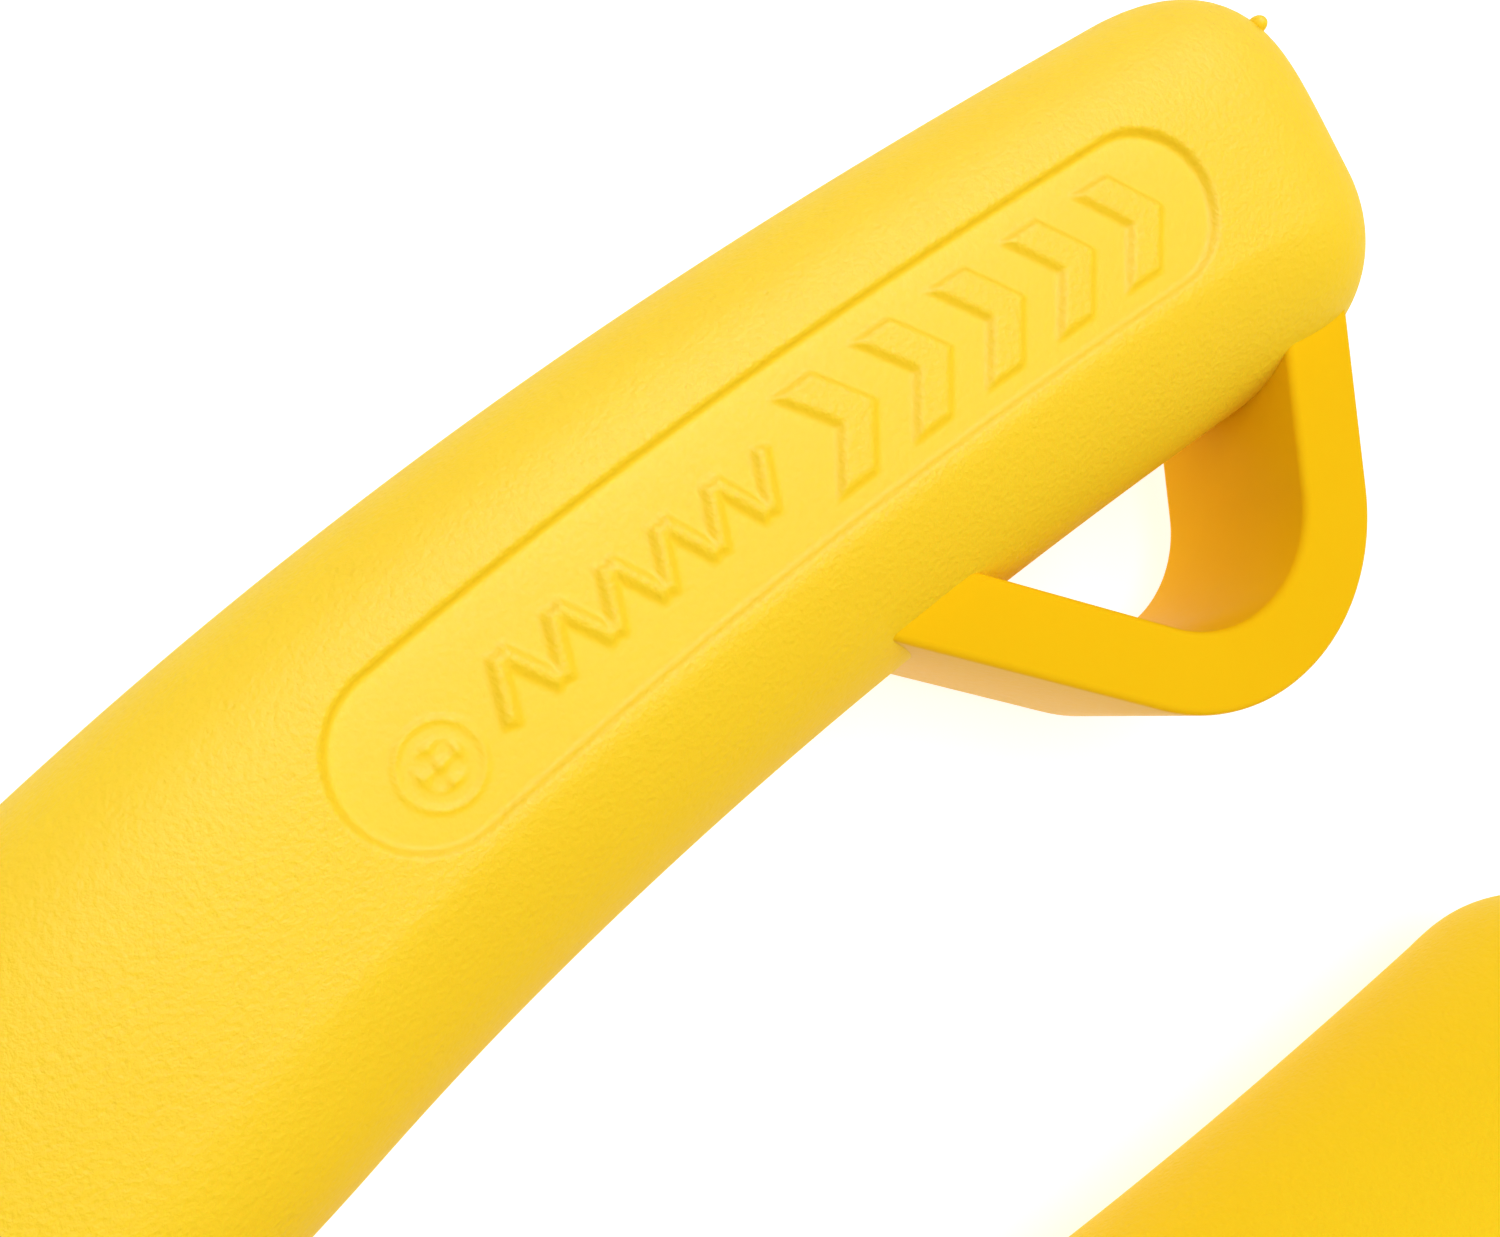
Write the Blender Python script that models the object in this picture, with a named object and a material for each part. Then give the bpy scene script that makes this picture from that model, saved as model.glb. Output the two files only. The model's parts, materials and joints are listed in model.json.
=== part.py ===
"""Thread snips: two moulded handles, two crossed blades on a screw pivot, and a return spring.

The snips lie flat on one side. +X runs from the blade tips to the free ends of the handles,
+Y is the side of the handle that carries the eyelet, and +Z is up. The origin is on the
surface that the snips lie on, under the middle of the whole tool. They are modelled open, as
the spring holds them. The closing side turns about the pivot, towards +Y at its handle.
"""
import math

import bpy
import bmesh
from mathutils import Vector

MM = 0.001

# Whole tool (millimetres and degrees)
PIVOT_X = -26.51
MID_Z = 6.8
CLOSING_ANGLE = 10.8
RUNNING_GAP = 0.1
SEAT_GAP = 0.3
CUT_PAST = 1.0

# Handle: its centre line is bowed, and u is the distance along it from the panel's middle.
# Side 1 carries the eyelet, and side -1 is plain and a little shorter
HANDLE_WIDTH = 16.0
HANDLE_DEPTH = 13.6
PANEL_FROM_PIVOT = 64.0
PANEL_FROM_AXIS = 19.5
HANDLE_SPREAD = 3.94
BOW_SQUARE = -2.35e-3
BOW_CUBE = 2.67e-5
FRONT_U = -46.0
FREE_END_U = {1: 28.85, -1: 26.9}
FREE_END_ROUNDING = {1: 6.5, -1: 8.0}
FREE_END_WIDTH_POWER = {1: 2.6, -1: 2.2}
FREE_END_DEPTH_POWER = 2.4
FREE_END_STEPS = 9
FRONT_ROUNDING = 3.0
FRONT_FACE_SCALE = 0.78
FRONT_STEPS = 3
TAPER_START_U = -24.0
FRONT_WIDTH = 12.4
FRONT_DEPTH = 11.0
LAND_OUTER = 0.575
LAND_INNER = 0.275
HANDLE_QUARTER_STEPS = 6
HANDLE_STEPS = 16

# Recessed stadium panel on the handle's upper face
PANEL_FIRST_U = -14.4
PANEL_LAST_U = 16.6
PANEL_HALF_WIDTH = 3.06
PANEL_OFFSET = 1.17
PANEL_RECESS = 0.35
PANEL_STEPS = 10

# Eyelet under the free end of one handle
EYELET_U = 13.9
EYELET_V = -9.47
EYELET_BORE_RADIUS = 4.83
EYELET_BAND = 3.11
EYELET_DEPTH = 8.7
EYELET_END_ARM = 59.7
EYELET_FRONT_ARM = 131.0
EYELET_ROOT_V = -4.5

# Blades
BLADE_THICKNESS = 1.8
BLADE_GAP = 0.3
BLADE_REACH = 40.0
BLADE_HEEL_WIDTH = 7.0
BLADE_TIP_WIDTH = 0.7
SPINE_FROM_PIVOT = 6.5
SPINE_POWER = 1.7
SPINE_STEPS = 20
BLADE_OVERLAP = 0.4
BEVEL_WIDTH = 3.0
BEVEL_FROM_PIVOT = 10.0
EDGE_LAND = 0.35
DISC_RADIUS = 8.0
NECK_HALF_WIDTH = 4.2
TANG_HALF_WIDTH = 3.2
TANG_END_U = 2.0
TANG_NARROWS_OVER = 6.0
TANG_STEPS = 12
TANG_HOLES_U = (-32.0, -12.0)
TANG_HOLE_RADIUS = 1.7

# Pivot stack
SHANK_RADIUS = 2.5
THREAD_RADIUS = 2.0
HEAD_RADIUS = 4.4
HEAD_RIM = 0.7
HEAD_HEIGHT = 2.1
DOME_STEPS = 8
THREAD_TAIL = 0.6
THREAD_CHAMFER = 0.4
SLOT_WIDTH = 1.1
SLOT_DEPTH = 0.9
WASHER_RADIUS = 5.2
WASHER_THICKNESS = 0.5
SPRING_WASHER_RADIUS = 4.6
SPRING_WASHER_THICKNESS = 0.4
SPRING_WASHER_RISE = 0.3
NUT_ACROSS_FLATS = 7.0
NUT_HEIGHT = 2.2
NUT_CHAMFER = 0.35
FRICTION_RADIUS = 4.6
FRICTION_THICKNESS = 1.0
FRICTION_COUNTERBORE = 0.5
STOP_PIN_RADIUS = 0.9
STOP_PIN_FROM_PIVOT = 6.4
STOP_PIN_ANGLE = 115.0
NOTCH_STEPS = 6

# Return spring and the two pins that hold it
SPRING_FROM_PIVOT = 27.0
SPRING_SEAT_Y = 6.8
SPRING_WIRE = 0.9
SPRING_MEAN_RADIUS = 2.7
SPRING_TURNS = 5.5
SPRING_END_PITCH = 1.05
SPRING_POCKET_RADIUS = 3.7
SPRING_PIN_RADIUS = 1.6
SPRING_PIN_TIP_Y = 4.2
SPRING_PIN_ROOT_Y = 7.9
SPRING_PIN_CHAMFER = 0.4
SPRING_STEPS_PER_TURN = 20
WIRE_SIDES = 8

ROUND_STEPS = 32

# Heights of the lower blade's underside and of the upper blade's two faces
UNDER_Z = MID_Z - BLADE_GAP / 2 - BLADE_THICKNESS
OVER_Z = MID_Z + BLADE_GAP / 2
OVER_TOP = OVER_Z + BLADE_THICKNESS


# ---------------------------------------------------------------- materials and scene

def clear_scene():
    for obj in list(bpy.data.objects):
        bpy.data.objects.remove(obj, do_unlink=True)


def material(name, colour, roughness, metallic):
    """A Principled BSDF material with one linear colour."""
    mat = bpy.data.materials.new(name)
    mat.use_nodes = True
    shader = mat.node_tree.nodes["Principled BSDF"]
    shader.inputs["Base Color"].default_value = (*colour, 1.0)
    shader.inputs["Roughness"].default_value = roughness
    shader.inputs["Metallic"].default_value = metallic
    return mat


def make_materials():
    return {
        "handle": material("yellow_moulded_plastic", (0.93, 0.60, 0.03), 0.45, 0.0),
        "blade": material("ground_stainless_steel", (0.62, 0.62, 0.61), 0.28, 1.0),
        "pivot": material("nickel_plated_steel", (0.66, 0.63, 0.58), 0.25, 1.0),
        "friction": material("acetal", (0.85, 0.84, 0.80), 0.40, 0.0),
        "spring": material("spring_steel", (0.42, 0.42, 0.43), 0.35, 1.0),
    }


# ---------------------------------------------------------------- mesh helpers

def mesh_object(name, verts, faces, mat=None):
    """An object from vertices in millimetres, with its faces turned outwards."""
    bm = bmesh.new()
    made = [bm.verts.new(Vector(v) * MM) for v in verts]
    for face in faces:
        bm.faces.new([made[i] for i in face])
    bmesh.ops.recalc_face_normals(bm, faces=bm.faces)
    mesh = bpy.data.meshes.new(name)
    bm.to_mesh(mesh)
    bm.free()
    obj = bpy.data.objects.new(name, mesh)
    bpy.context.scene.collection.objects.link(obj)
    if mat is not None:
        mesh.materials.append(mat)
    return obj


def shade_round(obj, angle=35.0):
    """Smooth shading with sharp edges where the surface turns by more than the angle."""
    obj.data.shade_smooth()
    obj.data.set_sharp_from_angle(angle=math.radians(angle))


def as_cutter(obj):
    obj.hide_render = True
    obj.display_type = "WIRE"
    return obj


def boolean(obj, other, operation="DIFFERENCE"):
    """A Boolean modifier whose second solid stays in the file as a guide."""
    as_cutter(other)
    modifier = obj.modifiers.new(other.name, "BOOLEAN")
    modifier.operation = operation
    modifier.solver = "EXACT"
    modifier.object = other


def loft(name, rings, mat=None, first_pole=None, last_pole=None):
    """A closed skin over rings of equal length, ended by a flat face or by a pole."""
    count = len(rings[0])
    verts = [p for ring in rings for p in ring]
    faces = []
    for i in range(len(rings) - 1):
        for k in range(count):
            k2 = (k + 1) % count
            faces.append((i * count + k, i * count + k2, (i + 1) * count + k2, (i + 1) * count + k))
    last = (len(rings) - 1) * count
    for pole, start in ((first_pole, 0), (last_pole, last)):
        if pole is None:
            faces.append(tuple(range(start, start + count)))
            continue
        verts.append(pole)
        tip = len(verts) - 1
        faces += [(start + k, start + (k + 1) % count, tip) for k in range(count)]
    return mesh_object(name, verts, faces, mat)


def prism(name, outline, z_low, z_high, mat=None):
    """An outline in the XY plane carried from z_low to z_high."""
    rings = [[(x, y, z) for x, y in outline] for z in (z_low, z_high)]
    return loft(name, rings, mat)


def turned(name, profile, mat=None, centre=(0.0, 0.0), steps=ROUND_STEPS):
    """A profile of (radius, z) points turned about a vertical line; it starts and ends on it."""
    rings = [ring(r, z, centre, steps) for r, z in profile if r > 0.0]
    poles = [(centre[0], centre[1], profile[i][1]) for i in (0, -1)]
    return loft(name, rings, mat, first_pole=poles[0], last_pole=poles[1])


def turned_ring(name, profile, mat, steps=ROUND_STEPS):
    """A closed profile of (radius, z) points turned about the pivot, with an open middle."""
    rings = [[(r * math.cos(a), r * math.sin(a), z) for r, z in profile]
             for a in (math.tau * k / steps for k in range(steps))]
    count = len(profile)
    verts = [p for one in rings for p in one]
    faces = []
    for i in range(steps):
        j = (i + 1) % steps
        for k in range(count):
            k2 = (k + 1) % count
            faces.append((i * count + k, i * count + k2, j * count + k2, j * count + k))
    return mesh_object(name, verts, faces, mat)


def ring(radius, z, centre=(0.0, 0.0), steps=ROUND_STEPS):
    return [(centre[0] + radius * math.cos(math.tau * k / steps),
             centre[1] + radius * math.sin(math.tau * k / steps), z) for k in range(steps)]


def post(name, radius, z_low, z_high, centre=(0.0, 0.0), mat=None):
    """A round post or hole cutter along Z."""
    return loft(name, [ring(radius, z_low, centre), ring(radius, z_high, centre)], mat)


def cross_post(name, stations, mat=None):
    """A round post along Y through the spring's axis, from (y, radius) stations."""
    centre = (SPRING_FROM_PIVOT, MID_Z)
    return loft(name, [[(x, y, z) for x, z, _ in ring(r, 0.0, centre)] for y, r in stations], mat)


def arc(centre, radius, start_deg, end_deg, steps):
    """Points along an arc, both ends included."""
    angles = [math.radians(start_deg + (end_deg - start_deg) * k / steps) for k in range(steps + 1)]
    return [(centre[0] + radius * math.cos(a), centre[1] + radius * math.sin(a)) for a in angles]


def smooth_step(t):
    t = min(max(t, 0.0), 1.0)
    return t * t * (3.0 - 2.0 * t)


# ---------------------------------------------------------------- handle

def to_tool(u, v, side):
    """A point of the handle's own plan axes, in the tool's plan axes; side is +1 or -1 in Y."""
    turn = math.radians(HANDLE_SPREAD)
    x = PANEL_FROM_PIVOT + u * math.cos(turn) - v * math.sin(turn)
    y = PANEL_FROM_AXIS + u * math.sin(turn) + v * math.cos(turn)
    return x, side * y


def bow(u):
    """The centre line's offset and slope at u, from the handle's own straight axis."""
    return BOW_SQUARE * u ** 2 + BOW_CUBE * u ** 3, 2 * BOW_SQUARE * u + 3 * BOW_CUBE * u ** 2


def beside(u, offset, side):
    """The point at a given offset outwards from the bowed centre line."""
    v, slope = bow(u)
    length = math.hypot(1.0, slope)
    return to_tool(u - slope / length * offset, v + offset / length, side)


def section_size(u):
    """Half width and half depth of the handle at u, before its ends are rounded."""
    t = smooth_step((TAPER_START_U - u) / (TAPER_START_U - FRONT_U))
    width = HANDLE_WIDTH + (FRONT_WIDTH - HANDLE_WIDTH) * t
    depth = HANDLE_DEPTH + (FRONT_DEPTH - HANDLE_DEPTH) * t
    return width / 2, depth / 2


def section_ring(u, width_scale, depth_scale, side):
    """The handle's section: four elliptic corners joined by a flat land above and below."""
    half_width, half_depth = section_size(u)
    half_width *= width_scale
    half_depth *= depth_scale
    points = []
    for quarter in range(4):
        outer = quarter in (0, 3)
        land = half_width * (LAND_OUTER if outer else -LAND_INNER)
        reach = half_width - abs(land)
        first = 1 if quarter == 2 else 0
        last = HANDLE_QUARTER_STEPS - 1 if quarter == 3 else HANDLE_QUARTER_STEPS
        for k in range(first, last + 1):
            angle = math.radians(90.0 * (quarter + k / HANDLE_QUARTER_STEPS))
            x, y = beside(u, land + reach * math.cos(angle), side)
            points.append((x, y, MID_Z + half_depth * math.sin(angle)))
    return points


def front_rings(side):
    """The sections of the rounded shoulder round the tang."""
    rings = []
    for k in range(FRONT_STEPS + 1):
        t = k / FRONT_STEPS
        scale = FRONT_FACE_SCALE + (1.0 - FRONT_FACE_SCALE) * math.sqrt(1.0 - (1.0 - t) ** 2)
        u = FRONT_U + FRONT_ROUNDING * (1.0 - math.cos(t * math.pi / 2))
        rings.append(section_ring(u, scale, scale, side))
    return rings


def free_end_rings(last_plain, side):
    """The sections of the blunt end, each (1 - t^p)^(1/p) of the full one."""
    rings = []
    for k in range(1, FREE_END_STEPS):
        t = math.sin(k / FREE_END_STEPS * math.pi / 2)
        width, depth = ((1.0 - t ** p) ** (1 / p) for p in (FREE_END_WIDTH_POWER[side], FREE_END_DEPTH_POWER))
        rings.append(section_ring(last_plain + FREE_END_ROUNDING[side] * t, width, depth, side))
    return rings


def handle_body(name, side, mat):
    """The bowed handle, lofted from its rounded front shoulder to its blunt free end."""
    first_plain = FRONT_U + FRONT_ROUNDING
    last_plain = FREE_END_U[side] - FREE_END_ROUNDING[side]
    rings = front_rings(side)
    for k in range(1, HANDLE_STEPS + 1):
        u = first_plain + (last_plain - first_plain) * k / HANDLE_STEPS
        rings.append(section_ring(u, 1.0, 1.0, side))
    rings += free_end_rings(last_plain, side)
    x, y = beside(FREE_END_U[side], 0.0, side)
    body = loft(name, rings, mat, last_pole=(x, y, MID_Z))
    shade_round(body, 40.0)
    return body


def panel_cutter(name, side):
    """The stadium that follows the handle's bow, cut down into the upper face."""
    along = [PANEL_FIRST_U + (PANEL_LAST_U - PANEL_FIRST_U) * k / PANEL_STEPS for k in range(PANEL_STEPS + 1)]
    low, high = PANEL_OFFSET - PANEL_HALF_WIDTH, PANEL_OFFSET + PANEL_HALF_WIDTH
    outline = [(u, low) for u in along]
    outline += arc((PANEL_LAST_U, PANEL_OFFSET), PANEL_HALF_WIDTH, -90.0, 90.0, PANEL_STEPS)[1:-1]
    outline += [(u, high) for u in reversed(along)]
    outline += arc((PANEL_FIRST_U, PANEL_OFFSET), PANEL_HALF_WIDTH, 90.0, 270.0, PANEL_STEPS)[1:-1]
    top = MID_Z + HANDLE_DEPTH / 2
    outline = [beside(u, offset, side) for u, offset in outline]
    return prism(name, outline, top - PANEL_RECESS, top + CUT_PAST)


def eyelet_outline(radius, root_v, side):
    """A rounded corner of the given radius, with its two arms running up to root_v in the handle."""
    points = []
    for arm, square_to_it in ((EYELET_FRONT_ARM, 90.0), (EYELET_END_ARM, -90.0)):
        tangent = arm + square_to_it
        u = EYELET_U + radius * math.cos(math.radians(tangent))
        v = EYELET_V + radius * math.sin(math.radians(tangent))
        run = (root_v - v) / math.sin(math.radians(arm))
        points.append((u + run * math.cos(math.radians(arm)), root_v))
    corner = arc((EYELET_U, EYELET_V), radius, EYELET_FRONT_ARM + 90.0, EYELET_END_ARM + 270.0, 14)
    outline = [points[0]] + corner + [points[1]]
    return [to_tool(u, v, side) for u, v in outline]


def eyelet(name, side):
    """The eyelet's band, still without the handle that closes it."""
    low, high = MID_Z - EYELET_DEPTH / 2, MID_Z + EYELET_DEPTH / 2
    outside = eyelet_outline(EYELET_BORE_RADIUS + EYELET_BAND, EYELET_ROOT_V, side)
    inside = eyelet_outline(EYELET_BORE_RADIUS, EYELET_ROOT_V + CUT_PAST, side)
    band = prism(name, outside, low, high)
    boolean(band, prism(name + "_hole", inside, low - CUT_PAST, high + CUT_PAST))
    return band


def make_handle(name, side, layer_z, mat, with_eyelet):
    """One handle: body, panel, pocket for the tang, spring seat and, on one side, the eyelet."""
    handle = handle_body(name, side, mat)
    if with_eyelet:
        boolean(handle, eyelet(name + "_eyelet", side), "UNION")
    boolean(handle, panel_cutter(name + "_panel", side))
    boolean(handle, tang_pocket(name + "_tang_pocket", side, layer_z))
    pocket = [(side * y, SPRING_POCKET_RADIUS) for y in (0.0, SPRING_SEAT_Y)]
    boolean(handle, cross_post(name + "_spring_pocket", pocket))
    pin_hole = [(side * y, SPRING_PIN_RADIUS + RUNNING_GAP)
                for y in (SPRING_PIN_TIP_Y - CUT_PAST, SPRING_PIN_ROOT_Y + RUNNING_GAP)]
    boolean(handle, cross_post(name + "_pin_hole", pin_hole))
    return handle


# ---------------------------------------------------------------- blades

def tang_side(offset_sign, grow, side):
    """Points along one edge of the tang, from the neck into the handle."""
    points = []
    for k in range(TANG_STEPS + 1):
        u = FRONT_U + (TANG_END_U - FRONT_U) * k / TANG_STEPS
        narrow = smooth_step((u - FRONT_U) / TANG_NARROWS_OVER)
        half = NECK_HALF_WIDTH + (TANG_HALF_WIDTH - NECK_HALF_WIDTH) * narrow
        points.append(beside(u, offset_sign * (half + grow), side))
    return points


def tang_end(grow, side):
    """The round end of the tang, from its outer edge to its inner edge."""
    radius = TANG_HALF_WIDTH + grow
    return [beside(TANG_END_U + du, dv, side) for du, dv in arc((0.0, 0.0), radius, 90.0, -90.0, 8)[1:-1]]


def tang_pocket(name, side, layer_z):
    """The room for a tang inside a handle, with posts left standing for the tang's holes."""
    outline = tang_side(1.0, SEAT_GAP, side) + tang_end(SEAT_GAP, side)
    outline += list(reversed(tang_side(-1.0, SEAT_GAP, side)))
    front = [beside(FRONT_U - CUT_PAST, sign * (NECK_HALF_WIDTH + SEAT_GAP), side) for sign in (-1.0, 1.0)]
    low, high = layer_z - SEAT_GAP, layer_z + BLADE_THICKNESS + SEAT_GAP
    pocket = prism(name, outline + front, low, high)
    for number, u in enumerate(TANG_HOLES_U):
        key = post(f"{name}_key_{number}", TANG_HOLE_RADIUS - SEAT_GAP, low - CUT_PAST, high + CUT_PAST,
                   beside(u, 0.0, side))
        boolean(pocket, key)
    return pocket


def turn_point(point, degrees):
    c, s = math.cos(math.radians(degrees)), math.sin(math.radians(degrees))
    return c * point[0] - s * point[1], s * point[0] + c * point[1]


def blade_outline(side):
    """The whole blade in plan: point, cutting edge, pivot disc, neck, tang and spine."""
    half_open = CLOSING_ANGLE / 2
    spine = []
    for k in range(SPINE_STEPS + 1):
        s = k / SPINE_STEPS
        x = -(SPINE_FROM_PIVOT + s * (BLADE_REACH - SPINE_FROM_PIVOT))
        width = BLADE_TIP_WIDTH + (BLADE_HEEL_WIDTH - BLADE_TIP_WIDTH) * (1.0 - s ** SPINE_POWER)
        spine.append(turn_point((x, BLADE_OVERLAP - width), half_open))
    edge_heel = turn_point((-math.sqrt(DISC_RADIUS ** 2 - BLADE_OVERLAP ** 2), BLADE_OVERLAP), half_open)
    tip = turn_point((-BLADE_REACH, BLADE_OVERLAP), half_open)
    front = beside(FRONT_U, 0.0, 1.0)
    neck = math.degrees(math.atan2(front[1], front[0]))
    spread = math.degrees(math.asin(NECK_HALF_WIDTH / DISC_RADIUS))
    heel_angle = math.degrees(math.atan2(edge_heel[1], edge_heel[0])) % 360.0
    spine_angle = math.degrees(math.atan2(spine[0][1], spine[0][0])) % 360.0
    outline = [tip, edge_heel]
    outline += arc((0.0, 0.0), DISC_RADIUS, heel_angle, neck + spread, 16)[1:]
    outline += tang_side(1.0, 0.0, 1.0) + tang_end(0.0, 1.0)
    outline += list(reversed(tang_side(-1.0, 0.0, 1.0)))
    outline += arc((0.0, 0.0), DISC_RADIUS, neck - spread, spine_angle - 360.0, 12)
    outline += spine[1:]
    return [(x, side * y) for x, y in outline]


def bevel_cutter(name, side, inner_z, outward):
    """The wedge that grinds the cutting edge on the blade's outer face; outward is +1 or -1 in Z."""
    slope = (BLADE_THICKNESS - EDGE_LAND) / BEVEL_WIDTH
    outer = BLADE_THICKNESS + CUT_PAST
    section = ((BLADE_OVERLAP - BEVEL_WIDTH - CUT_PAST / slope, outer),
               (BLADE_OVERLAP + CUT_PAST, EDGE_LAND - CUT_PAST * slope),
               (BLADE_OVERLAP + CUT_PAST, outer))
    rings = []
    for x in (-(BLADE_REACH + CUT_PAST), -BEVEL_FROM_PIVOT):
        one = []
        for y, z in section:
            px, py = turn_point((x, y), CLOSING_ANGLE / 2)
            one.append((px, side * py, inner_z + outward * z))
        rings.append(one)
    return loft(name, rings)


def make_blade(name, side, layer_z, mat):
    """One blade with its bevel, pivot bore, washer counterbore and tang holes."""
    outward = 1.0 if layer_z > MID_Z else -1.0
    inner_z = layer_z if outward > 0 else layer_z + BLADE_THICKNESS
    low, high = layer_z - CUT_PAST, layer_z + BLADE_THICKNESS + CUT_PAST
    blade = prism(name, blade_outline(side), layer_z, layer_z + BLADE_THICKNESS, mat)
    boolean(blade, bevel_cutter(name + "_bevel", side, inner_z, outward))
    boolean(blade, post(name + "_bore", SHANK_RADIUS + RUNNING_GAP, low, high))
    sink = sorted((inner_z - outward * CUT_PAST, inner_z + outward * FRICTION_COUNTERBORE))
    boolean(blade, post(name + "_counterbore", FRICTION_RADIUS + SEAT_GAP, sink[0], sink[1]))
    for number, u in enumerate(TANG_HOLES_U):
        boolean(blade, post(f"{name}_key_hole_{number}", TANG_HOLE_RADIUS, low, high, beside(u, 0.0, side)))
    return blade


# ---------------------------------------------------------------- pivot

def make_screw(mat):
    """Slotted dome-headed screw: plain shank through both blades, thread in the nut."""
    head_z = OVER_TOP + RUNNING_GAP * 2 + WASHER_THICKNESS
    shank_end = UNDER_Z - RUNNING_GAP
    thread_end = UNDER_Z - SPRING_WASHER_THICKNESS - SPRING_WASHER_RISE - NUT_HEIGHT - THREAD_TAIL
    profile = [(0.0, thread_end), (THREAD_RADIUS - THREAD_CHAMFER, thread_end),
               (THREAD_RADIUS, thread_end + THREAD_CHAMFER), (THREAD_RADIUS, shank_end),
               (SHANK_RADIUS, shank_end), (SHANK_RADIUS, head_z), (HEAD_RADIUS, head_z),
               (HEAD_RADIUS, head_z + HEAD_RIM)]
    for k in range(1, DOME_STEPS):
        a = k / DOME_STEPS * math.pi / 2
        z = head_z + HEAD_RIM + (HEAD_HEIGHT - HEAD_RIM) * math.sin(a)
        profile.append((HEAD_RADIUS * math.cos(a), z))
    profile.append((0.0, head_z + HEAD_HEIGHT))
    screw = turned("pivot_screw", profile, mat)
    shade_round(screw)
    half = SLOT_WIDTH / 2
    reach = HEAD_RADIUS + CUT_PAST
    top = head_z + HEAD_HEIGHT
    outline = [(-reach, -half), (reach, -half), (reach, half), (-reach, half)]
    boolean(screw, prism("pivot_screw_slot", outline, top - SLOT_DEPTH, top + CUT_PAST))
    return screw


def make_washer(mat):
    """Flat washer under the screw's head."""
    low = OVER_TOP + RUNNING_GAP
    bore = SHANK_RADIUS + RUNNING_GAP
    profile = [(bore, low), (WASHER_RADIUS, low), (WASHER_RADIUS, low + WASHER_THICKNESS),
               (bore, low + WASHER_THICKNESS)]
    washer = turned_ring("pivot_washer", profile, mat)
    shade_round(washer)
    return washer


def make_spring_washer(mat):
    """Coned spring washer between the lower blade and the nut; it keeps the blades together."""
    high = UNDER_Z - RUNNING_GAP
    bore = THREAD_RADIUS + RUNNING_GAP
    profile = [(bore, high - SPRING_WASHER_RISE - SPRING_WASHER_THICKNESS),
               (SPRING_WASHER_RADIUS, high - SPRING_WASHER_THICKNESS), (SPRING_WASHER_RADIUS, high),
               (bore, high - SPRING_WASHER_RISE)]
    washer = turned_ring("spring_washer", profile, mat)
    shade_round(washer)
    return washer


def make_nut(mat):
    """Hexagon nut with chamfered corners under the spring washer."""
    high = UNDER_Z - 2 * RUNNING_GAP - SPRING_WASHER_RISE - SPRING_WASHER_THICKNESS
    low = high - NUT_HEIGHT
    corner = NUT_ACROSS_FLATS / math.sqrt(3.0)
    rings = [[(r * math.cos(math.tau * k / 6), r * math.sin(math.tau * k / 6), z) for k in range(6)]
             for r, z in ((corner - NUT_CHAMFER, low), (corner, low + NUT_CHAMFER),
                          (corner, high - NUT_CHAMFER), (corner - NUT_CHAMFER, high))]
    nut = loft("pivot_nut", rings, mat)
    boolean(nut, post("pivot_nut_bore", THREAD_RADIUS + RUNNING_GAP, low - CUT_PAST, high + CUT_PAST))
    return nut


def make_friction_washer(mat):
    """Acetal washer between the blades, sunk in both of them."""
    low = MID_Z - FRICTION_THICKNESS / 2
    bore = SHANK_RADIUS + RUNNING_GAP
    profile = [(bore, low), (FRICTION_RADIUS, low), (FRICTION_RADIUS, low + FRICTION_THICKNESS),
               (bore, low + FRICTION_THICKNESS)]
    washer = turned_ring("friction_washer", profile, mat)
    shade_round(washer)
    return washer


def stop_pin_centre():
    angle = math.radians(STOP_PIN_ANGLE)
    return STOP_PIN_FROM_PIVOT * math.cos(angle), STOP_PIN_FROM_PIVOT * math.sin(angle)


def make_stop_pin(under_blade, over_blade, mat):
    """Pin pressed into the lower blade; it meets the end of the upper blade's notch when open."""
    centre = stop_pin_centre()
    pin = post("stop_pin", STOP_PIN_RADIUS, UNDER_Z + RUNNING_GAP, OVER_TOP - RUNNING_GAP, centre, mat)
    shade_round(pin)
    hole_radius = STOP_PIN_RADIUS + RUNNING_GAP
    boolean(under_blade, post("stop_pin_hole", hole_radius, UNDER_Z - CUT_PAST, MID_Z, centre))
    margin = math.degrees(hole_radius / (STOP_PIN_FROM_PIVOT - STOP_PIN_RADIUS))
    start, end = STOP_PIN_ANGLE - CLOSING_ANGLE - margin, STOP_PIN_ANGLE + margin
    inner = STOP_PIN_FROM_PIVOT - STOP_PIN_RADIUS - 2 * RUNNING_GAP
    outline = arc((0.0, 0.0), inner, start, end, NOTCH_STEPS)
    outline += arc((0.0, 0.0), DISC_RADIUS + CUT_PAST, end, start, NOTCH_STEPS)
    boolean(over_blade, prism("stop_pin_notch", outline, MID_Z, OVER_TOP + CUT_PAST))
    return pin


# ---------------------------------------------------------------- return spring

def spring_height(turn):
    """Position along the spring's axis after some turns: close end turns, open middle."""
    length = 2 * (SPRING_SEAT_Y - RUNNING_GAP) - SPRING_WIRE
    middle_turns = SPRING_TURNS - 2.0
    middle = length - 2 * SPRING_END_PITCH
    if turn < 1.0:
        return turn * SPRING_END_PITCH
    if turn > SPRING_TURNS - 1.0:
        return length - (SPRING_TURNS - turn) * SPRING_END_PITCH
    return SPRING_END_PITCH + middle * (turn - 1.0) / middle_turns


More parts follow.
